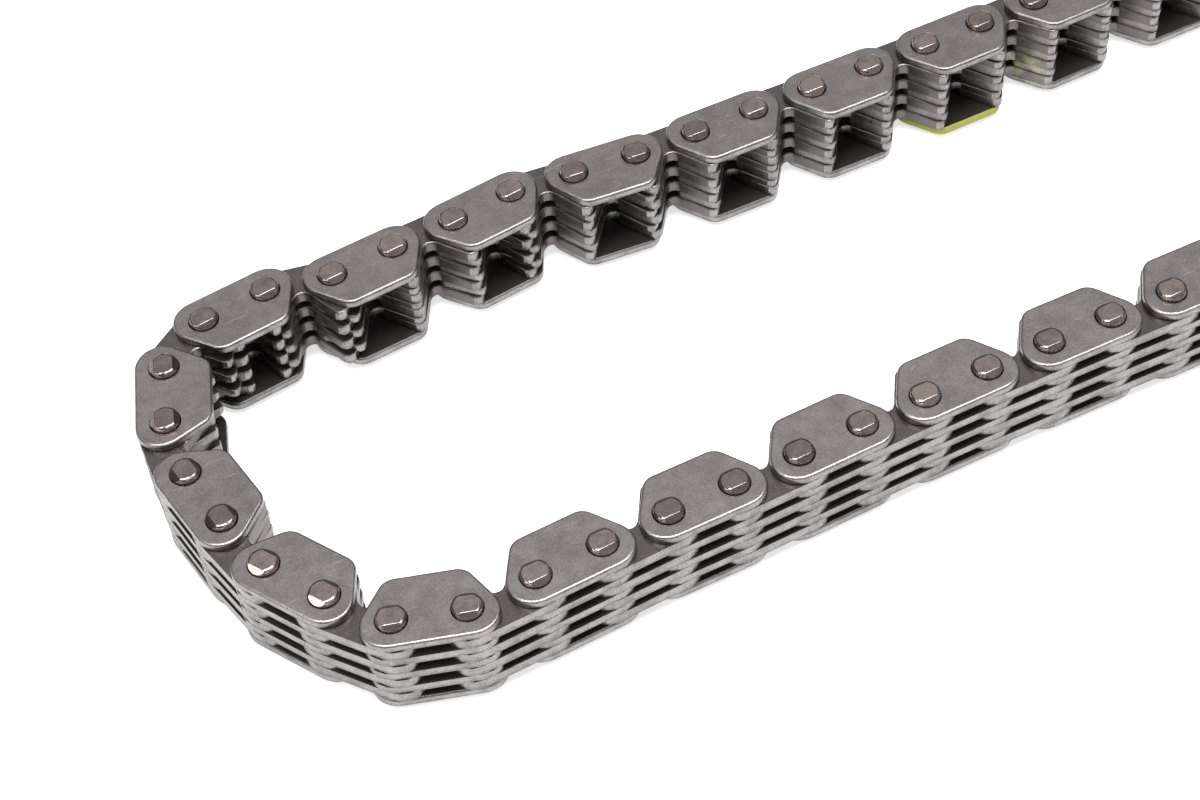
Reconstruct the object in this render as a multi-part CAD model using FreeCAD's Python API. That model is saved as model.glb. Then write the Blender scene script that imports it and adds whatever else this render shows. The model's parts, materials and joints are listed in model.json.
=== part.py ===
import FreeCAD, Part

import math
import os

# Silent timing chain: an endless loop of inverted tooth links, lying on its side.
# Guide links (two outer guide plates, three toothed plates, two pins) alternate with
# inner links (four toothed plates) that turn on the guide links' pins.
# Frame: +Z along the pins, +X along the loop, origin under the middle of the loop, on the
# surface that the lower pin ends stand on. Millimetres and degrees.

# Driving sizes of the chain
pitch = 8.0               # from one pin to the next
guide_thickness = 1.0     # outer guide plate
outer_thickness = 1.12    # toothed plate of a guide link
inner_thickness = 1.42    # toothed plate of an inner link
plate_clearance = 0.02    # running clearance between neighbouring plates
outer_plate_count = 3     # toothed plates in a guide link; an inner link has one more

# Driving sizes of the plate outline, seen along the pins
back_height = 3.4         # pin line to the straight back
end_radius = 3.0          # round end of every plate
flank_angle = 33.0        # lean of a tooth flank from the perpendicular to the pin line
flank_offset = 3.16       # pin centre to the outer flank
guide_tip_height = 5.3    # pin line to the flat tip of a guide plate
guide_tip_radius = 2.0    # corners of that tip
crotch_height = 0.88      # pin line to the top of the crotch between the two teeth
crotch_radius = 1.1
tooth_tip_radius = 0.8

# Driving sizes of the pins and their fits
pin_diameter = 3.4
pin_stand_out = 0.75      # how far a pin end stands out of the guide plate
pin_edge_radius = 0.39    # round edge of a pin end
facet_offset = 1.04       # pin axis to the top edge of each staking facet
facet_angle = 40.0        # fall of a facet from the pin's end face
outer_hole_clearance = 0.02   # radial, toothed plate of a guide link
inner_hole_clearance = 0.03   # radial, toothed plate of an inner link, which turns

# Direction of each link of one half of the loop as it was laid down: along the upper run,
# round the near end with its uneven bends, and out along the lower run. The other half is
# the same turned half a turn about the origin, which closes the loop at every pitch.
upper_run = [180, 179, 179, 178, 179, 178, 174, 173, 186, 183, 184, 168, 186]
near_end = [215, 251, 266, 279, 283, 301, 308, 342]
lower_run = [362, 362, 362, 360, 361, 361, 361]
half_loop = upper_run + near_end + lower_run
marked_link = 0           # the guide link whose lower plate carries the timing mark

inner_plate_count = outer_plate_count + 1
stack_height = (
    2 * guide_thickness
    + outer_plate_count * outer_thickness
    + inner_plate_count * inner_thickness
    + (outer_plate_count + inner_plate_count + 1) * plate_clearance
)
lower_guide_z = pin_stand_out
upper_guide_z = pin_stand_out + stack_height - guide_thickness
pin_length = stack_height + 2 * pin_stand_out
layer_step = inner_thickness + outer_thickness + 2 * plate_clearance
first_inner_z = lower_guide_z + guide_thickness + plate_clearance
first_outer_z = first_inner_z + inner_thickness + plate_clearance


def crossing(one, other):
    """Point where two lines meet; a line is (a, b, c) with a x + b y = c."""
    a, b, c = one
    d, e, f = other
    scale = a * e - b * d
    return (c * e - b * f) / scale, (a * f - c * d) / scale


def rounded_wire(corners):
    """Closed wire through (x, y, radius) corners, each rounded by a tangent arc."""
    starts, arcs = [], []
    count = len(corners)
    for number, (x, y, radius) in enumerate(corners):
        corner = FreeCAD.Vector(x, y, 0)
        before = FreeCAD.Vector(*corners[number - 1][:2], 0) - corner
        after = FreeCAD.Vector(*corners[(number + 1) % count][:2], 0) - corner
        before.normalize()
        after.normalize()
        half_angle = before.getAngle(after) / 2
        reach = radius / math.tan(half_angle)
        inwards = before + after
        inwards.normalize()
        middle = corner + inwards * (radius / math.sin(half_angle) - radius)
        arcs.append((corner + before * reach, middle, corner + after * reach))
    edges = []
    for number, (start, middle, end) in enumerate(arcs):
        edges.append(Part.Arc(start, middle, end).toShape())
        next_start = arcs[(number + 1) % count][0]
        if (next_start - end).Length > 1e-6:
            edges.append(Part.makeLine(end, next_start))
    return Part.Wire(edges)


# The straight sides of the outlines as lines, in the link's own frame: x from the first pin
# to the second, y towards the teeth, zero midway between the pins
lean = math.radians(flank_angle)
right_flank = (math.cos(lean), math.sin(lean), flank_offset + math.cos(lean) * pitch / 2)
crotch_apex = crotch_height + crotch_radius - crotch_radius / math.sin(lean)
right_inner_flank = (-math.cos(lean), math.sin(lean), math.sin(lean) * crotch_apex)
back_side = (0, 1, -back_height)
guide_tip = (0, 1, guide_tip_height)


def guide_outline():
    """Outer guide plate: straight back, round ends, leaning sides and a flat blunt tip."""
    end_x, end_y = crossing(right_flank, back_side)
    tip_x, tip_y = crossing(right_flank, guide_tip)
    return rounded_wire([
        (-end_x, end_y, end_radius),
        (end_x, end_y, end_radius),
        (tip_x, tip_y, guide_tip_radius),
        (-tip_x, tip_y, guide_tip_radius),
    ])


def toothed_outline():
    """Toothed plate: the same back and flanks, with two teeth parted by a round crotch."""
    end_x, end_y = crossing(right_flank, back_side)
    tooth_x, tooth_y = crossing(right_flank, right_inner_flank)
    return rounded_wire([
        (-end_x, end_y, end_radius),
        (end_x, end_y, end_radius),
        (tooth_x, tooth_y, tooth_tip_radius),
        (0, crotch_apex, crotch_radius),
        (-tooth_x, tooth_y, tooth_tip_radius),
    ])


def plate(outline, thickness, bottom, hole_radius):
    """One stamped plate with its two pin holes."""
    holes = [
        Part.Wire(Part.makeCircle(hole_radius, FreeCAD.Vector(side * pitch / 2, 0, 0)))
        for side in (-1, 1)
    ]
    solid = Part.Face([outline] + holes).extrude(FreeCAD.Vector(0, 0, thickness))
    solid.translate(FreeCAD.Vector(0, 0, bottom))
    return solid


def pin():
    """Round pin, its end edges rounded, with two staking facets on each end."""
    radius = pin_diameter / 2
    body = Part.makeCylinder(radius, pin_length)
    rims = [e for e in body.Edges if isinstance(e.Curve, Part.Circle)]
    body = body.makeFillet(pin_edge_radius, rims)
    slope = math.radians(facet_angle)
    reach = radius - facet_offset + pin_edge_radius
    wedge_points = [
        FreeCAD.Vector(0, facet_offset, pin_length),
        FreeCAD.Vector(0, facet_offset + reach, pin_length - reach * math.tan(slope)),
        FreeCAD.Vector(0, facet_offset + reach, pin_length + pin_stand_out),
        FreeCAD.Vector(0, facet_offset, pin_length + pin_stand_out),
    ]
    wedge = Part.Face(Part.makePolygon(wedge_points + wedge_points[:1]))
    wedge = wedge.extrude(FreeCAD.Vector(pin_diameter, 0, 0))
    wedge.translate(FreeCAD.Vector(-radius, 0, 0))
    middle = FreeCAD.Vector(0, 0, pin_length / 2)
    wedges = []
    for across in (0, 180):
        for over in (0, 180):
            cutter = wedge.copy()
            cutter.rotate(middle, FreeCAD.Vector(1, 0, 0), over)
            cutter.rotate(middle, FreeCAD.Vector(0, 0, 1), across)
            wedges.append(cutter)
    return body.cut(wedges)


def pins_of_link():
    """The two pins of a guide link, pressed into its guide plates."""
    shape = pin()
    placed = []
    for side in (-1, 1):
        one = shape.copy()
        one.translate(FreeCAD.Vector(side * pitch / 2, 0, 0))
        placed.append(one)
    return placed


def stacked(outline, thickness, count, first_z, hole_radius):
    """Toothed plates of one link, one in every second layer."""
    return [
        plate(outline, thickness, first_z + layer * layer_step, hole_radius)
        for layer in range(count)
    ]


def link_places():
    """Where each link stands: the midpoint of its two pins and its direction."""
    directions = half_loop + [angle + 180 for angle in half_loop]
    steps = [
        FreeCAD.Vector(math.cos(math.radians(a)), math.sin(math.radians(a)), 0) * pitch
        for a in directions
    ]
    here = FreeCAD.Vector(0, 0, 0)
    for step in steps[:len(half_loop)]:
        here = here - step * 0.5
    places = []
    for angle, step in zip(directions, steps):
        places.append((here + step * 0.5, angle))
        here = here + step
    return places


def save(name, shapes, place):
    """Set the solids of one node down at their link's place and write them."""
    spot, angle = place
    group = Part.makeCompound([shape.copy() for shape in shapes])
    group.Placement = FreeCAD.Placement(
        spot, FreeCAD.Rotation(FreeCAD.Vector(0, 0, 1), angle)
    )
    group.exportStep("parts/" + name + ".step")


os.makedirs("parts", exist_ok=True)

pin_radius = pin_diameter / 2
lower_guide = plate(guide_outline(), guide_thickness, lower_guide_z, pin_radius)
upper_guide = plate(guide_outline(), guide_thickness, upper_guide_z, pin_radius)
outer_plates = stacked(
    toothed_outline(), outer_thickness, outer_plate_count, first_outer_z,
    pin_radius + outer_hole_clearance,
)
inner_plates = stacked(
    toothed_outline(), inner_thickness, inner_plate_count, first_inner_z,
    pin_radius + inner_hole_clearance,
)
trailing_pin, leading_pin = pins_of_link()
guide_link = [lower_guide, upper_guide, trailing_pin, leading_pin] + outer_plates

for index, place in enumerate(link_places()):
    number = "%02d" % (index // 2 + 1)
    if index % 2:
        save("inner_link_" + number, inner_plates, place)
    elif index == marked_link:
        save("marked_link_lower_guide_plate", [lower_guide], place)
        save("marked_link_upper_guide_plate", [upper_guide], place)
        save("marked_link_toothed_plates", outer_plates, place)
        save("marked_link_trailing_pin", [trailing_pin], place)
        save("marked_link_leading_pin", [leading_pin], place)
    else:
        save("guide_link_" + number, guide_link, place)
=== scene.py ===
import json
import math

import bmesh
import bpy
from mathutils import Matrix, Vector


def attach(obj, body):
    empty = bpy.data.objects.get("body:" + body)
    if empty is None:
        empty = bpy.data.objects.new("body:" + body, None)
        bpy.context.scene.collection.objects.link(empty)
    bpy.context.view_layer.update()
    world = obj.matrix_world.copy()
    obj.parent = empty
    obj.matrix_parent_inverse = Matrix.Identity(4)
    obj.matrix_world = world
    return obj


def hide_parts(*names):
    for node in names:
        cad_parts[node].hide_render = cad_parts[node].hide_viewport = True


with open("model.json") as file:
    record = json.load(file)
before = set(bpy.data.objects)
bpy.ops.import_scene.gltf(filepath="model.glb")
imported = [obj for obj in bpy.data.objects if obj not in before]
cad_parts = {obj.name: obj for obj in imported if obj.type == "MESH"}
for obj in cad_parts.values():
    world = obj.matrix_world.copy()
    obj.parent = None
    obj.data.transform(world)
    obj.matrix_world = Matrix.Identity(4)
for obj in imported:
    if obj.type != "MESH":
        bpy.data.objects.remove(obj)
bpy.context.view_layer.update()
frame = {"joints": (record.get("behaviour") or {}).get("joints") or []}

# One link is modelled in millimetres, x from its first pin to its second, y to the teeth,
# z along the pins from the surface the chain lies on, and scaled to metres as it is set down
millimetre = 0.001

# How the plates lie in the stack; the same sizes as the solids have
stack = {
    "pitch": 8.0,
    "guideThickness": 1.0,
    "outerThickness": 1.12,
    "innerThickness": 1.42,
    "clearance": 0.02,
    "outerCount": 3,       # toothed plates of a guide link; an inner link has one more
    "pinStandOut": 0.75,
}

# The outline that all plates share
outline = {
    "back": 3.4,           # pin line to the straight back
    "endRadius": 3.0,
    "flankAngle": 33.0,    # lean of the flanks, degrees
    "flankOffset": 3.16,   # pin centre to the flank
}

# How close counts as equal where edges and faces are picked, in millimetres if not said
tolerance = {
    "place": 0.01,         # where an upright edge stands
    "height": 1e-4,
    "facet": 1e-3,         # the top edge of a staking facet
    "cut": 0.00001,
    "merge": 0.001,        # where a half meets its mirror image
    "flat": 0.5,           # degrees between faces that become one
    "facing": 0.99,        # share of a normal that points one way
}
beyond = 100               # farther out than any vertex of a link


def alone(piece):
    # the only selected object, and the active one
    bpy.ops.object.select_all(action="DESELECT")
    piece.select_set(True)
    bpy.context.view_layer.objects.active = piece


def editing(piece):
    alone(piece)
    bpy.ops.object.mode_set(mode="EDIT")


def done():
    bpy.ops.object.mode_set(mode="OBJECT")


def pick(piece, kind, wanted):
    # selects the edges or faces that pass a test, and nothing else
    bpy.ops.mesh.select_mode(type=kind)
    bpy.ops.mesh.select_all(action="DESELECT")
    shape = bmesh.from_edit_mesh(piece.data)
    for part in {"EDGE": shape.edges, "FACE": shape.faces}[kind]:
        if wanted(part):
            part.select_set(True)
    bmesh.update_edit_mesh(piece.data)


def upright(edge, x, y):
    # an edge along z that stands at (x, y)
    ends = [v.co for v in edge.verts]
    there = all(math.hypot(p.x - x, p.y - y) < tolerance["place"] for p in ends)
    return there and abs(ends[0].z - ends[1].z) > tolerance["place"]


def applied(piece, kind, **settings):
    # adds a modifier and applies it
    alone(piece)
    change = piece.modifiers.new(kind.title(), kind)
    for key, value in settings.items():
        setattr(change, key, value)
    bpy.ops.object.modifier_apply(modifier=change.name)


def crossing(one, other):
    # where two lines meet; a line is (a, b, c) with a x + b y = c
    scale = one[0] * other[1] - one[1] * other[0]
    return ((one[2] * other[1] - one[1] * other[2]) / scale,
            (one[0] * other[2] - one[2] * other[0]) / scale)


def roundCorner(piece, x, y, radius, inside, segments):
    # bevels the upright edge at (x, y) to an arc; inside is the angle between its two faces,
    # and the profile puts the middle of the bevel on the arc
    half = math.radians(inside) / 2
    fullness = math.sin(half) / (1 + math.sin(half))
    pick(piece, "EDGE", lambda edge: upright(edge, x, y))
    bpy.ops.mesh.bevel(offset_type="OFFSET", offset=radius / math.tan(half),
                       segments=segments, profile=((1 + fullness) / 2) ** 2,
                       affect="EDGES")


def bevelRim(piece, z, amount, segments, lowest=-beyond, highest=beyond):
    # rounds the outer edge of the flat face at height z, between two values of y
    pick(piece, "EDGE", lambda edge: all(
        abs(v.co.z - z) < tolerance["height"] and lowest < v.co.y < highest
        for v in edge.verts))
    bpy.ops.mesh.bevel(offset_type="OFFSET", offset=amount, segments=segments,
                       profile=0.5, affect="EDGES")


lean = math.radians(outline["flankAngle"])
halfPitch = stack["pitch"] / 2
flank = (math.cos(lean), math.sin(lean), outline["flankOffset"] + math.cos(lean) * halfPitch)
backLine = (0, 1, -outline["back"])
endCorner = crossing(flank, backLine)


def halfBlank(name, top, thickness):
    # the right-hand half of a plate: a block whose end is cut off along the flank
    width, height = endCorner[0], top + outline["back"]
    bpy.ops.mesh.primitive_cube_add(
        size=1, scale=(width, height, thickness),
        location=(width / 2, top - height / 2, thickness / 2))
    piece = bpy.context.object
    piece.name = name
    bpy.ops.object.transform_apply(location=True, rotation=True, scale=True)
    editing(piece)
    bpy.ops.mesh.select_all(action="SELECT")
    bpy.ops.mesh.bisect(plane_co=(endCorner[0], endCorner[1], 0),
                        plane_no=(flank[0], flank[1], 0),
                        use_fill=True, clear_outer=True)
    return piece


def mirrored(piece):
    # opens the half on its inner side and mirrors it to the whole plate
    pick(piece, "FACE", lambda face: face.normal.x < -tolerance["facing"])
    bpy.ops.mesh.delete(type="FACE")
    done()
    applied(piece, "MIRROR", use_axis=(True, False, False), use_clip=True,
            merge_threshold=tolerance["merge"])
    editing(piece)
    bpy.ops.mesh.select_all(action="SELECT")
    bpy.ops.mesh.normals_make_consistent(inside=False)
    bpy.ops.mesh.dissolve_limited(angle_limit=math.radians(tolerance["flat"]))


def drilled(piece, radius, thickness, sides):
    # both pin holes
    done()
    for side in (-1, 1):
        bpy.ops.mesh.primitive_cylinder_add(
            vertices=sides, radius=radius, depth=3 * thickness,
            location=(side * halfPitch, 0, thickness / 2))
        drill = bpy.context.object
        applied(piece, "BOOLEAN", operation="DIFFERENCE", solver="EXACT", object=drill)
        bpy.data.objects.remove(drill)


def onHole(vertex, z, radius):
    # a vertex of a pin hole's edge at height z
    away = math.hypot(abs(vertex.co.x) - halfPitch, vertex.co.y)
    return abs(vertex.co.z - z) < tolerance["height"] and away < radius + tolerance["place"]


def breakHoles(piece, z, radius, amount):
    # takes the sharp edge off both pin holes at height z
    editing(piece)
    pick(piece, "EDGE", lambda edge: all(onHole(v, z, radius) for v in edge.verts))
    bpy.ops.mesh.bevel(offset_type="OFFSET", offset=amount, segments=1, affect="EDGES")
    done()


# How light runs over the faces
shading = {
    "plates": 28,          # angle up to which two faces of a plate are one round, degrees
    "pins": 30,
    "flatArea": 2.0,       # square millimetres, above which a face is shaded flat
}


def shaded(piece, angle):
    # smooth over the round edges, while the large flat faces keep their own normals
    alone(piece)
    bpy.ops.object.shade_smooth_by_angle(angle=math.radians(angle))
    for face in piece.data.polygons:
        if face.area > shading["flatArea"]:
            face.use_smooth = False


# Where painted shade darkens the punched edges, and how much of it
paintedShade = {
    "under": 1.0,          # painted shade on the broken lower edges, in the gap under each plate
    "crotch": 0.9,
    "flank": 0.29,
    "facesIn": 0.3,        # y of the normal, from which a face looks into the loop
    "upright": 0.5,        # z of the normal, up to which a face is part of the punched edge
    "flat": 0.9,           # z of the normal, from which it is a plate's flat face
}


def markSurfaces(piece, thickness, shadeTo):
    # two values for the finish. The rise goes from 0 at a plate's lower face to 1 at its upper
    # one. The other is painted shade on the punched edges: 1 under the lower edges, high in the
    # crotch, less on the flanks, and 0 on ends, back and all that lies past the given limit along
    # y.
    rise = piece.data.attributes.new("rise", "FLOAT", "POINT")
    for vertex, mark in zip(piece.data.vertices, rise.data):
        mark.value = vertex.co.z / thickness
    # painted shade on each face of the punched edge
    shadeAndTorn = piece.data.attributes.new("shadeAndTorn", "FLOAT", "FACE")
    for face, mark in zip(piece.data.polygons, shadeAndTorn.data):
        facesMiddle = face.normal.x * face.center.x < tolerance["place"]
        facesIn = face.normal.y > paintedShade["facesIn"] and face.center.y < shadeTo
        if -paintedShade["flat"] < face.normal.z < -paintedShade["upright"]:
            mark.value = paintedShade["under"]
        elif facesIn and abs(face.normal.z) < paintedShade["upright"]:
            mark.value = paintedShade["crotch" if facesMiddle and face.center.y > 0 else "flank"]


guidePlate = {
    "tip": 5.3,            # pin line to the flat tip
    "tipRadius": 2.0,
    "endSegments": 12,
    "tipSegments": 7,
    "rollOver": 0.32,      # stamped round edge on the outer face
    "rollSegments": 4,
    "burrSide": 0.06,      # small break of the edge on the other face
    "holeRadius": 1.73,
    "holeSides": 32,
    "holeBreak": 0.1,      # broken edge of the pin holes on the outer face
}


def makeGuidePlate():
    thickness, tip = stack["guideThickness"], guidePlate["tip"]
    piece = halfBlank("guidePlateModel", tip, thickness)
    mirrored(piece)
    tipCorner = crossing(flank, (0, 1, tip))
    for side in (-1, 1):
        roundCorner(piece, side * endCorner[0], endCorner[1], outline["endRadius"],
                    90 - outline["flankAngle"], guidePlate["endSegments"])
        roundCorner(piece, side * tipCorner[0], tipCorner[1], guidePlate["tipRadius"],
                    90 + outline["flankAngle"], guidePlate["tipSegments"])
    bevelRim(piece, thickness, guidePlate["rollOver"], guidePlate["rollSegments"])
    bevelRim(piece, 0, guidePlate["burrSide"], 1)
    radius = guidePlate["holeRadius"]
    drilled(piece, radius, thickness, guidePlate["holeSides"])
    breakHoles(piece, thickness, radius, guidePlate["holeBreak"])
    shaded(piece, shading["plates"])
    markSurfaces(piece, thickness, -outline["back"])    # so that its sides get no painted shade
    return piece


toothedPlate = {
    "crotch": 0.88,        # pin line to the top of the crotch
    "crotchRadius": 1.1,
    "toothRadius": 0.8,
    "endSegments": 6,
    "toothSegments": 3,
    "crotchSegments": 4,
    "rollOver": 0.18,      # stamped round edge on the upper face, on the side of the teeth
    "rollSegments": 2,
    "holeRadius": 1.73,
    "holeSides": 12,
    "toothTipFrom": 4.85,     # the tooth tips, free of painted shade, start at this height over the pin line
    "tipRoll": 0.2,        # round lower edge of the tooth tips
    "worn": 0.05,          # break of the other lower edges
}


def makeToothedPlate(name, thickness):
    radius = toothedPlate["crotchRadius"]
    apex = toothedPlate["crotch"] + radius - radius / math.sin(lean)
    innerFlank = (-math.cos(lean), math.sin(lean), math.sin(lean) * apex)
    tooth = crossing(flank, innerFlank)
    piece = halfBlank(name, tooth[1], thickness)
    bpy.ops.mesh.select_all(action="SELECT")
    bpy.ops.mesh.bisect(plane_co=(0, apex, 0), plane_no=(innerFlank[0], innerFlank[1], 0),
                        use_fill=True, clear_outer=True)
    mirrored(piece)
    between = 2 * outline["flankAngle"]
    for side in (-1, 1):
        roundCorner(piece, side * endCorner[0], endCorner[1], outline["endRadius"],
                    90 - outline["flankAngle"], toothedPlate["endSegments"])
        roundCorner(piece, side * tooth[0], tooth[1], toothedPlate["toothRadius"],
                    between, toothedPlate["toothSegments"])
    roundCorner(piece, 0, apex, radius, between, toothedPlate["crotchSegments"])
    tipFrom, segments = toothedPlate["toothTipFrom"], toothedPlate["rollSegments"]
    bevelRim(piece, 0, toothedPlate["tipRoll"], segments, lowest=tipFrom)
    bevelRim(piece, 0, toothedPlate["worn"], 1, highest=tipFrom)
    bevelRim(piece, thickness, toothedPlate["rollOver"], segments, lowest=0)
    drilled(piece, toothedPlate["holeRadius"], thickness, toothedPlate["holeSides"])
    shaded(piece, shading["plates"])
    markSurfaces(piece, thickness, tipFrom)
    return piece


pin = {
    "radius": 1.7,
    "sides": 28,
    "edgeRadius": 0.39,
    "edgeSegments": 3,
    "facetOffset": 1.04,   # axis to the top edge of a staking facet
    "facetAngle": 40.0,    # fall of a facet from the end face, degrees
    "facetBreak": 0.16,    # round top edge of a facet
    "facetSegments": 2,
}
stackHeight = (2 * stack["guideThickness"] + stack["outerCount"] * stack["outerThickness"]
               + (stack["outerCount"] + 1) * stack["innerThickness"]
               + (2 * stack["outerCount"] + 2) * stack["clearance"])
pinLength = stackHeight + 2 * stack["pinStandOut"]


def onFacetTop(vertex):
    # a vertex of a facet's top edge, on either end face
    across = abs(vertex.co.y) - pin["facetOffset"]
    along = abs(vertex.co.z - pinLength / 2) - pinLength / 2
    return abs(across) < tolerance["facet"] and abs(along) < tolerance["facet"]


def makePin():
    bpy.ops.mesh.primitive_cylinder_add(
        vertices=pin["sides"], radius=pin["radius"], depth=pinLength,
        location=(0, 0, pinLength / 2))
    piece = bpy.context.object
    piece.name = "pinModel"
    bpy.ops.object.transform_apply(location=True, rotation=True, scale=True)
    editing(piece)
    for z in (0, pinLength):
        bevelRim(piece, z, pin["edgeRadius"], pin["edgeSegments"])
    slope = math.radians(pin["facetAngle"])
    for end, z in ((-1, 0), (1, pinLength)):
        for side in (-1, 1):
            bpy.ops.mesh.select_all(action="SELECT")
            bpy.ops.mesh.bisect(plane_co=(0, side * pin["facetOffset"], z),
                                plane_no=(0, side * math.sin(slope), end * math.cos(slope)),
                                use_fill=True, clear_outer=True, threshold=tolerance["cut"])
    bpy.ops.mesh.select_all(action="SELECT")
    bpy.ops.mesh.dissolve_limited(angle_limit=math.radians(tolerance["flat"]))
    pick(piece, "EDGE", lambda edge: all(onFacetTop(v) for v in edge.verts))
    bpy.ops.mesh.bevel(offset_type="OFFSET", offset=pin["facetBreak"],
                       segments=pin["facetSegments"], affect="EDGES")
    done()
    shaded(piece, shading["pins"])
    return piece


guideModel = makeGuidePlate()
outerModel = makeToothedPlate("outerPlateModel", stack["outerThickness"])
innerModel = makeToothedPlate("innerPlateModel", stack["innerThickness"])
pinModel = makePin()
models = (guideModel, outerModel, innerModel, pinModel)
for model in models:
    print("modelled %s, %d faces" % (model.name, len(model.data.polygons)))


class Socket:
    # an output of a shader node that takes part in Python's arithmetic
    def __init__(self, shader, output):
        self.shader, self.output = shader, output

    def maths(self, operation, *values):
        return self.shader.node("ShaderNodeMath", {"operation": operation},
                                dict(enumerate(values)))

    def __add__(self, other):
        return self.maths("ADD", self, other)

    def __sub__(self, other):
        return self.maths("SUBTRACT", self, other)

    def __rsub__(self, other):
        return self.maths("SUBTRACT", other, self)

    def __mul__(self, other):
        return self.maths("MULTIPLY", self, other)

    def __truediv__(self, other):
        return self.maths("DIVIDE", self, other)

    def __abs__(self):
        return self.maths("ABSOLUTE", self)

    __radd__, __rmul__ = __add__, __mul__


def blend(shares, *patterns):
    # patterns added up, each by its share
    return sum(share * pattern for share, pattern in zip(shares, patterns))


class Nodes:
    # a node tree that is built up by calls
    def __init__(self, tree):
        self.tree = tree

    def feed(self, socket, value):
        if isinstance(value, Socket):
            self.tree.links.new(value.output, socket)
        else:
            socket.default_value = value

    def node(self, kind, settings, values, output=0):
        made = self.tree.nodes.new(kind)
        for key, value in settings.items():
            setattr(made, key, value)
        for key, value in values.items():
            self.feed(made.inputs[key], value)
        return Socket(self, made.outputs[output])

    def between(self, value, low, high):
        # 0 at low, 1 at high, smooth between
        return self.node("ShaderNodeMapRange", {"interpolation_type": "SMOOTHSTEP"}, {
            "Value": value, "From Min": low, "From Max": high})

    def part(self, vector, axis):
        # one of a vector's numbers: 0 for x, 1 for y, 2 for z
        return self.node("ShaderNodeSeparateXYZ", {}, {0: vector}, output=axis)


class Finish(Nodes):
    # a material: its Principled shader and the nodes that feed it
    def __init__(self, name):
        self.material = bpy.data.materials.new(name)
        self.material.use_nodes = True
        super().__init__(self.material.node_tree)
        self.surface = next(n for n in self.tree.nodes if n.type == "BSDF_PRINCIPLED")
        places = self.tree.nodes.new("ShaderNodeTexCoord")
        self.place = Socket(self, places.outputs["Object"])
        self.facing = Socket(self, places.outputs["Normal"])

    def noise(self, size, detail=2.0, stretch=(1, 1, 1), turn=0.0):
        # size of the features in millimetres
        place = self.node("ShaderNodeMapping", {}, {
            "Vector": self.place, "Rotation": (0, 0, math.radians(turn)), "Scale": stretch})
        return self.node("ShaderNodeTexNoise", {}, {
            "Vector": place, "Scale": 1 / (size * millimetre), "Detail": detail})

    def attribute(self, name):
        # a value that a plate's mesh carries
        return self.node("ShaderNodeAttribute", {"attribute_name": name}, {}, output=2)

    def mix(self, share, one, other):
        # of two colours
        return self.node("ShaderNodeMix", {"data_type": "RGBA"}, {0: share, 6: one, 7: other},
                         output=2)

    def upness(self):
        # 1 on a flat face, 0 on an edge
        return abs(self.part(self.facing, 2))

    def bumps(self, height, strength, distance):
        return self.node("ShaderNodeBump", {}, {
            "Height": height, "Strength": strength, "Distance": distance * millimetre})

    def put(self, **sockets):
        for name, value in sockets.items():
            self.feed(self.surface.inputs[name.replace("_", " ")], value)
        return self.material


black, white = (0, 0, 0, 1), (1, 1, 1, 1)
warmth = {"redder": 0.1, "lessBlue": 0.02}


def steel(value, warm=1.0):
    # the faintly warm grey of the steel; linear
    red = value * (1 + warmth["redder"] * warm)
    blue = value * (1 - warmth["lessBlue"] * warm)
    return (red, value, blue, 1)


scratch = {
    "kinds": ((35, 0.45, 0.5), (-20, 0.5, 0.52), (80, 0.4, 0.54)),    # turn, width, rareness
    "stretch": (0.06, 1, 0.06),
    "thin": 0.012,         # part of the noise on each side of its middle that makes a thread
    "patch": 2.6,          # size of the patches with scratches, in widths
    "patchStretch": (0.4, 1, 0.4), "patchTurn": 20, "patchFade": 0.08,
}


def scratches(finish, turn, width, rareness):
    # fine straight marks: a noise drawn out along one direction, cut to thin threads
    drawn = finish.noise(width, detail=0.0, stretch=scratch["stretch"], turn=turn)
    thread = finish.between(abs(drawn - 0.5), scratch["thin"], 0.0)
    where = finish.noise(scratch["patch"] * width, detail=1.0, stretch=scratch["patchStretch"],
                         turn=turn + scratch["patchTurn"])
    return thread * finish.between(where, rareness, rareness + scratch["patchFade"])


# Greys are linear, sizes and heights in millimetres; a range is a pattern's value where the
# effect starts and where it is full
plateFinish = {
    # patterns
    "grainSize": 0.16, "cloudSize": 1.9, "wideSize": 9.0,
    "streakSize": 0.12, "streakStretch": (1, 1, 0.2),
    "flatRange": (0.55, 0.95),               # z of the normal, from punched edge to flat face

    # flat faces
    "face": 0.4, "faceDark": 0.26,
    "faceShares": (0.3, 0.2, 0.7), "faceRange": (0.42, 0.78),
    "scratched": 0.72, "scratchShare": 0.5,
    "step": 0.56,                            # share of light left on faces under a guide plate
    "stepTop": 11.1,                         # height that only the upper guide plates rise over
    "inside": (0.085, 0.075, 0.075, 1),      # painted shade on the faces between the plates
    "insideFrom": 1.6, "insideTo": 10.85,    # heights between which faces lie inside
    "heightFade": 0.1,
    "oil": 0.4,                              # how much of the metal the oil hides

    # punched edges
    "edge": 0.305, "edgeDark": 0.18, "edgeWarm": 0.5,
    "edgeShares": (0.5, 0.25, 0.25), "edgeRange": (0.36, 0.6),
    "shadeAndTorn": 0.12,                          # dark grey: painted shade on flanks, crotches and lower edges, and the colour of pits and torn metal
    "tornBelow": 0.3,                        # share of the thickness that tore under the punch
    "tornUneven": (0.7, 0.3), "tornFade": 0.06,
    "tornRange": (0.3, 0.6), "tornShare": 0.75,
    "pitSize": 0.26, "pitRange": (0.63, 0.69), "pitShare": 0.7,

    # gloss and relief
    "roughFace": 0.35, "roughEdge": 0.34, "roughCloud": 0.12,
    "smoothMarks": 0.1, "smoothStep": 0.1,
    "markDepth": 0.6, "bump": 0.2, "bumpDepth": 0.02,
}
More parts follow.
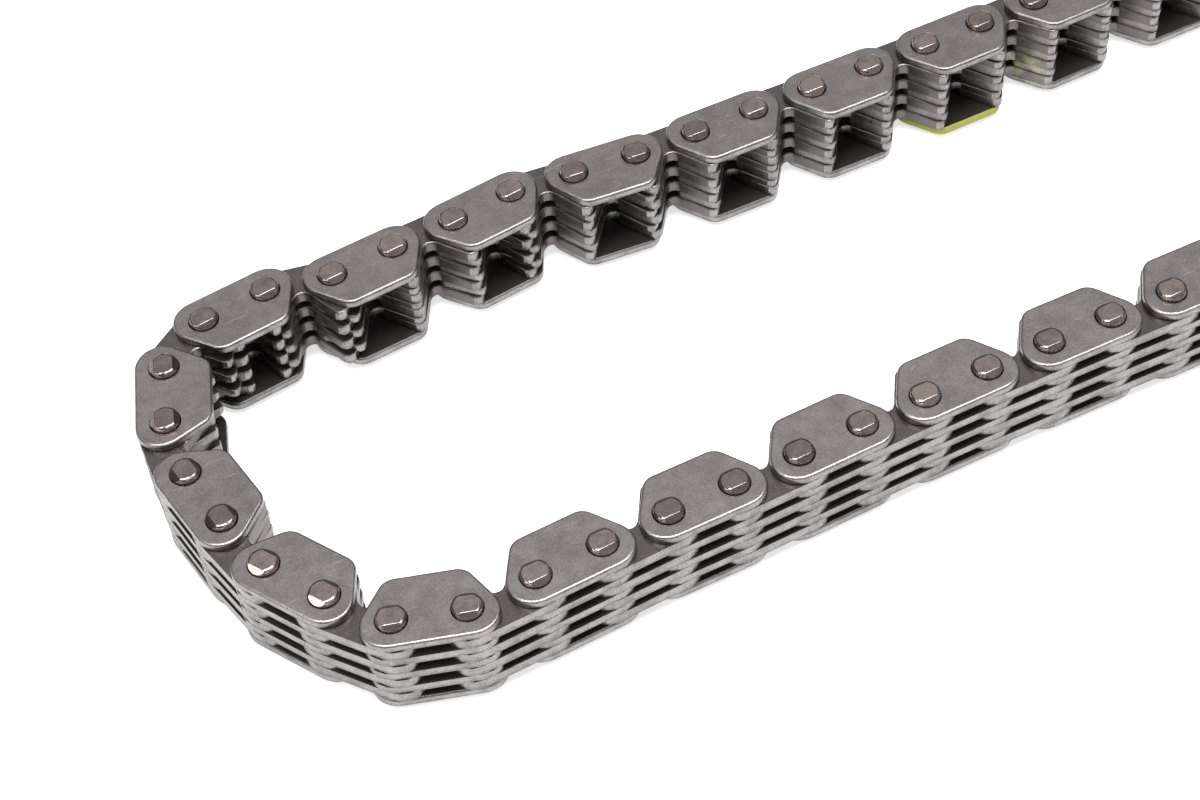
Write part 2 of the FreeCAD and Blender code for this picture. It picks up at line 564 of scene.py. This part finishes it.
paint = {
    "colour": (0.41, 0.43, 0.055, 1),
    "faceRange": (0.96, 0.8),                # z of the normal; no paint on the face inside
    "wornRange": (0.72, 0.82), "rougher": 0.15,
    "drift": (0.48, 0.48, 0.22, 1),          # thin paint over steel
    "driftAt": (23.2, 20.5, 4.0), "driftReach": 4.4,
    "driftRange": (0.35, 0.65), "driftShare": 0.5,
}
stain = {
    "colour": (0.42, 0.24, 0.12, 1), "at": (-80.0, 25.5, 12.0), "reach": 0.5,
    "range": (0.4, 0.6), "share": 0.6,
}
fullShare = 0.3            # part of a spot's reach within which it is full


def around(finish, middle, reach):
    # 1 at a place given in millimetres, falling to 0 at its reach
    away = finish.node("ShaderNodeVectorMath", {"operation": "DISTANCE"}, {
        0: finish.place, 1: [c * millimetre for c in middle]}, output=1)
    return finish.between(away, reach * millimetre, fullShare * reach * millimetre)


def faceColour(finish, grain, cloud, marks, step, inside):
    # the flat faces: uneven grey with scratches and a stain, and painted shade where they lie
    # lower
    wide = finish.noise(plateFinish["wideSize"], detail=1.0)
    tone = finish.between(blend(plateFinish["faceShares"], cloud, wide, grain),
                          *plateFinish["faceRange"])
    face = finish.mix(tone, steel(plateFinish["faceDark"]), steel(plateFinish["face"]))
    face = finish.mix(marks * plateFinish["scratchShare"], face, steel(plateFinish["scratched"]))
    # painted shade on faces under the upper guide plates and on the faces between the plates
    face = finish.mix(step * (1 - plateFinish["step"]), face, black)
    face = finish.mix(inside, face, plateFinish["inside"])
    browned = around(finish, stain["at"], stain["reach"]) * finish.between(cloud, *stain["range"])
    return finish.mix(browned * stain["share"], face, stain["colour"])


def edgeColour(finish, grain, cloud, streaks):
    # the punched edges: bright where cut, dark where torn and in pits, with painted shade in the
    # recesses
    warm, dark = plateFinish["edgeWarm"], steel(plateFinish["shadeAndTorn"])
    tone = finish.between(blend(plateFinish["edgeShares"], cloud, grain, streaks),
                          *plateFinish["edgeRange"])
    edge = finish.mix(tone, steel(plateFinish["edgeDark"], warm), steel(plateFinish["edge"], warm))
    uneven = blend(plateFinish["tornUneven"], cloud - 0.5, streaks - 0.5)
    torn = finish.between(finish.attribute("rise") + uneven,
                          plateFinish["tornBelow"] + plateFinish["tornFade"],
                          plateFinish["tornBelow"])
    torn = torn * finish.between(grain, *plateFinish["tornRange"])
    edge = finish.mix(torn * plateFinish["tornShare"], edge, dark)
    pits = finish.between(finish.noise(plateFinish["pitSize"], detail=1.0),
                          *plateFinish["pitRange"])
    edge = finish.mix(pits * plateFinish["pitShare"], edge, dark)
    # painted shade over the crotches, the flanks and the lower edges
    edge = finish.mix(finish.attribute("shadeAndTorn"), edge, dark)
    drift = around(finish, paint["driftAt"], paint["driftReach"])
    drift = drift * finish.between(cloud, *paint["driftRange"])
    return finish.mix(drift * paint["driftShare"], edge, paint["drift"])


def steelPlates(name, painted):
    finish = Finish(name)
    flat = finish.between(finish.upness(), *plateFinish["flatRange"])
    height = finish.part(finish.place, 2) / millimetre
    # heights of the painted shade between the plates and under the upper guide plates
    low, high, fade = (plateFinish[k] for k in ("insideFrom", "insideTo", "heightFade"))
    inside = (finish.between(height, low, low + fade)
              * finish.between(height, high + fade / 2, high))
    step = finish.between(height, plateFinish["stepTop"] + fade, plateFinish["stepTop"])
    grain = finish.noise(plateFinish["grainSize"])
    cloud = finish.noise(plateFinish["cloudSize"], detail=3.0)
    streaks = finish.noise(plateFinish["streakSize"], stretch=plateFinish["streakStretch"])
    marks = sum(scratches(finish, *kind) for kind in scratch["kinds"])
    colour = finish.mix(flat, edgeColour(finish, grain, cloud, streaks),
                        faceColour(finish, grain, cloud, marks, step, inside))
    bare = 1 - inside * flat * plateFinish["oil"]
    rough = (flat * (plateFinish["roughFace"] - plateFinish["roughEdge"])
             + plateFinish["roughEdge"] + (cloud - 0.5) * plateFinish["roughCloud"]
             - marks * plateFinish["smoothMarks"] - step * flat * plateFinish["smoothStep"])
    if painted:
        coat = (finish.between(finish.part(finish.facing, 2), *paint["faceRange"])
                * finish.between(streaks + cloud, *paint["wornRange"]))
        colour, bare = finish.mix(coat, colour, paint["colour"]), bare * (1 - coat)
        rough = rough + coat * paint["rougher"]
    relief = grain * flat + streaks * (1 - flat) - marks * plateFinish["markDepth"]
    return finish.put(
        Base_Color=colour, Metallic=bare, Roughness=rough,
        Normal=finish.bumps(relief, plateFinish["bump"], plateFinish["bumpDepth"]))


pinFinish = {
    "light": (0.45, 0.375, 0.345, 1), "dark": (0.26, 0.215, 0.2, 1),
    "grainSize": 0.22, "cloudSize": 1.4,
    "eachSize": 14.0,                        # larger than a pin, so each has a tone of its own
    "shares": (0.35, 0.3, 0.35), "range": (0.38, 0.62),
    "flatRange": (0.93, 0.99),               # z of the normal, from round edge to end face
    "roughEdge": 0.14, "roughFace": 0.25,    # the end faces are duller than the rest
    "roughGrain": 0.1, "bump": 0.12, "bumpDepth": 0.02,
}


def steelPins():
    finish = Finish("hardenedPin")
    grain = finish.noise(pinFinish["grainSize"], detail=3.0)
    cloud = finish.noise(pinFinish["cloudSize"])
    each = finish.noise(pinFinish["eachSize"], detail=0.0)
    tone = finish.between(blend(pinFinish["shares"], grain, cloud, each), *pinFinish["range"])
    flat = finish.between(finish.upness(), *pinFinish["flatRange"])
    rough = flat * (pinFinish["roughFace"] - pinFinish["roughEdge"]) + pinFinish["roughEdge"]
    return finish.put(
        Base_Color=finish.mix(tone, pinFinish["dark"], pinFinish["light"]),
        Metallic=1.0, Roughness=rough + grain * pinFinish["roughGrain"],
        Normal=finish.bumps(grain, pinFinish["bump"], pinFinish["bumpDepth"]))


finishes = {
    "plates": steelPlates("tumbledSteel", False),
    "timing": steelPlates("timingMark", True),
    "pins": steelPins(),
}
print("finishes made")

# Where the pins stand, read from the joints; the pivot with no joint of its own is opposite
# another one, because the loop looks the same after half a turn
pivots = {int(j["name"].split("_")[1]): Vector(j["pos_m"][:2]) for j in frame["joints"]}
linkCount = len(pivots) + 1
for number in range(1, linkCount + 1):
    if number not in pivots:
        opposite = (number - 1 + linkCount // 2) % linkCount + 1
        pivots[number] = -pivots[opposite]


def linkPlace(number):
    # the matrix that sets a modelled link down; number counts the links from 1
    first, second = pivots[number], pivots[number % linkCount + 1]
    along, middle = (second - first).normalized(), (first + second) / 2
    turned = Matrix(((along.x, -along.y, 0, middle.x), (along.y, along.x, 0, middle.y),
                     (0, 0, 1, 0), (0, 0, 0, 1)))
    return turned @ Matrix.Scale(millimetre, 4)


def shifted(x=0, z=0):
    # where one plate or pin sits in its link
    return Matrix.Translation((x, 0, z))


layerStep = stack["innerThickness"] + stack["outerThickness"] + 2 * stack["clearance"]
lowerGuide = stack["pinStandOut"]
upperGuide = lowerGuide + stackHeight - stack["guideThickness"]
firstInner = lowerGuide + stack["guideThickness"] + stack["clearance"]
firstOuter = firstInner + stack["innerThickness"] + stack["clearance"]
layout = {
    "lowerGuidePlate": (guideModel, [shifted(z=lowerGuide)]),
    "upperGuidePlate": (guideModel, [shifted(z=upperGuide)]),
    "guidePlates": (guideModel, [shifted(z=lowerGuide), shifted(z=upperGuide)]),
    "outerPlates": (outerModel, [shifted(z=firstOuter + n * layerStep)
                                 for n in range(stack["outerCount"])]),
    "innerPlates": (innerModel, [shifted(z=firstInner + n * layerStep)
                                 for n in range(stack["outerCount"] + 1)]),
    "trailingPin": (pinModel, [shifted(x=-halfPitch)]),
    "leadingPin": (pinModel, [shifted(x=halfPitch)]),
    "pins": (pinModel, [shifted(x=-halfPitch), shifted(x=halfPitch)]),
}


def setDown(name, kind, number, body, node, material):
    # copies the model once for each place in the link, joined in one piece
    model, spots = layout[kind]
    whole = bmesh.new()
    for spot in spots:
        copy = model.data.copy()
        copy.transform(linkPlace(number) @ spot)
        whole.from_mesh(copy)
        bpy.data.meshes.remove(copy)
    mesh = bpy.data.meshes.new(name)
    whole.to_mesh(mesh)
    whole.free()
    mesh.materials.append(material)
    piece = bpy.data.objects.new(name, mesh)
    bpy.context.scene.collection.objects.link(piece)
    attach(piece, body)
    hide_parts(node)


# The pieces of the marked link, each for a node of its own, and those of every other guide
# link, which share one node: what it is, the slot and the finish
markedPieces = (
    ("lowerGuidePlate", "lower_guide_plate", "timing_mark_plate", "timing"),
    ("upperGuidePlate", "upper_guide_plate", "guide_plate_steel", "plates"),
    ("outerPlates", "toothed_plates", "toothed_plate_steel", "plates"),
    ("trailingPin", "trailing_pin", "pin_steel", "pins"),
    ("leadingPin", "leading_pin", "pin_steel", "pins"),
)
guideLinkPieces = (
    ("guidePlates", "guide_plate_steel", "plates"),
    ("outerPlates", "toothed_plate_steel", "plates"),
    ("pins", "pin_steel", "pins"),
)
for number in range(1, linkCount + 1):
    couple = (number + 1) // 2    # a guide link and the inner link after it share a number
    if number == 1:
        for kind, node, slot, finish in markedPieces:
            setDown("marked" + kind[0].upper() + kind[1:], kind, number, "marked_link",
                    "marked_link_" + node, finishes[finish])
    elif number % 2:
        node = "guide_link_%02d" % couple
        for kind, slot, finish in guideLinkPieces:
            setDown("%s_%02d" % (kind, couple), kind, number, node, node,
                    finishes[finish])
    else:
        node = "inner_link_%02d" % couple
        setDown("innerPlates_%02d" % couple, "innerPlates", number, node, node,
                finishes["plates"])
for model in models:
    bpy.data.objects.remove(model)
print("links set down")

# Studio: a white floor, a broad light overhead, weak ones low before the chain and to the
# left, and a surround that is brighter above than at the sides, most of all above and behind
studio = {
    "floorSize": 6.0, "floorColour": (0.8, 0.8, 0.8, 1), "floorRough": 0.9,
    "floorGlow": 0.62,     # seen by the camera and in reflections, so that it looks white
    "aim": (-0.04, 0, 0),
    "sides": 0.12, "above": 0.16, "behind": 0.29,
    "aboveRange": (0.3, 0.6),                # z of a direction, from the sides to above
    "behindRange": (0.0, 0.5),               # y of a direction, from before to behind
}

# place, size and power of each light, in metres and watts
lights = {
    "front": ((0.2, -0.86, 0.46), (1.4, 0.26), 2),
    "left": ((-0.9, -0.12, 0.55), (0.5, 0.25), 1.5),
    "overhead": ((-0.04, -0.14, 1.0), (1.2, 0.34), 12),
}


def addLight(name, place, size, power):
    lamp = bpy.data.lights.new(name, "AREA")
    lamp.shape, lamp.size, lamp.size_y, lamp.energy = "RECTANGLE", size[0], size[1], power
    holder = bpy.data.objects.new(name, lamp)
    holder.location = place
    ray = Vector(studio["aim"]) - Vector(place)
    holder.rotation_euler = ray.to_track_quat("-Z", "Y").to_euler()
    bpy.context.scene.collection.objects.link(holder)


bpy.ops.object.select_all(action="DESELECT")
bpy.ops.mesh.primitive_plane_add(size=studio["floorSize"], location=(0, 0, 0))
floor = bpy.context.object
floor.name = "floor"
floorFinish = Finish("paleFloor")
rays = floorFinish.tree.nodes.new("ShaderNodeLightPath")
seen = sum(Socket(floorFinish, rays.outputs["Is %s Ray" % kind])
           for kind in ("Camera", "Glossy", "Transmission"))
floor.data.materials.append(floorFinish.put(
    Base_Color=studio["floorColour"], Roughness=studio["floorRough"], Specular_IOR_Level=0.0,
    Emission_Color=floorFinish.mix(floorFinish.between(seen, 0, 1), black, white),
    Emission_Strength=studio["floorGlow"]))
for name, (place, size, power) in lights.items():
    addLight(name, place, size, power)

world = bpy.data.worlds.new("surround")
world.use_nodes = True
background = next(n for n in world.node_tree.nodes if n.type == "BACKGROUND")
surround = Nodes(world.node_tree)
direction = surround.node("ShaderNodeTexCoord", {}, {})
above = surround.between(surround.part(direction, 2), *studio["aboveRange"])
behind = surround.between(surround.part(direction, 1), *studio["behindRange"])
bright = above * (behind * studio["behind"] + studio["above"]) + studio["sides"]
surround.feed(background.inputs["Strength"], bright)
background.inputs["Color"].default_value = white
bpy.context.scene.world = world
bpy.context.scene.view_settings.view_transform = "Standard"

# Camera, matched to the photograph; degrees, metres, and millimetres for the lens
camera = {
    "azimuth": 22.53, "elevation": 50.22, "roll": -5.32,
    "distance": 0.28455, "target": (-0.04644, 0.00196, 0.0),
    "focal": 72.954, "sensor": 36.0, "nearest": 0.01,
}
azimuth, elevation, roll = (math.radians(camera[k]) for k in ("azimuth", "elevation", "roll"))
ahead = Vector((math.sin(azimuth) * math.cos(elevation),
                math.cos(azimuth) * math.cos(elevation), -math.sin(elevation)))
level = Vector((math.cos(azimuth), -math.sin(azimuth), 0))
upwards = level.cross(ahead)
right = level * math.cos(roll) + upwards * math.sin(roll)
top = upwards * math.cos(roll) - level * math.sin(roll)
lens = bpy.data.cameras.new("camera")
lens.lens, lens.sensor_width, lens.clip_start = (camera[k] for k in ("focal", "sensor", "nearest"))
eye = bpy.data.objects.new("camera", lens)
eye.location = Vector(camera["target"]) - ahead * camera["distance"]
eye.rotation_euler = Matrix((right, top, -ahead)).transposed().to_euler()
bpy.context.scene.collection.objects.link(eye)
bpy.context.scene.camera = eye
print("studio and camera set")
